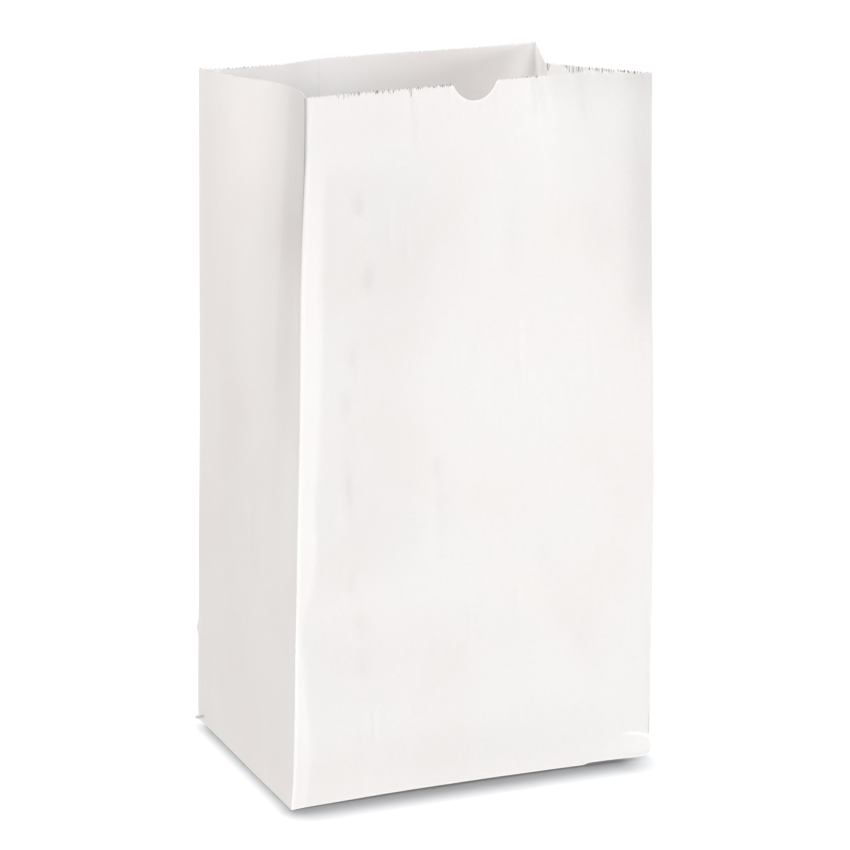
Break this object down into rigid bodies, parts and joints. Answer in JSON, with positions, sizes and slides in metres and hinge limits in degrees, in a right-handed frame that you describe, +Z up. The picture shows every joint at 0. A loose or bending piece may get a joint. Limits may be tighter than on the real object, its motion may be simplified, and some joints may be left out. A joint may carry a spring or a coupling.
{
  "type": "paper grocery bag",
  "caption": "Open flat-bottomed paper bag standing upright, with gusseted sides, a pinked rim and a rounded thumb notch in the front rim.",
  "frame": {"origin": "centre of the bounding box at the underside of the flat base, where the bag stands", "axes": "+Z up towards the open mouth; -Y is the front panel with the thumb notch; X runs across the front panel"},
  "size_m": [0.2108, 0.1738, 0.3777],
  "materials": {
    "paper": "matte uncoated white bag paper, faint vertical streaks and handling dents"
  },
  "bodies": {
    "root": {"bag": "paper"}
  },
  "joints": []
}
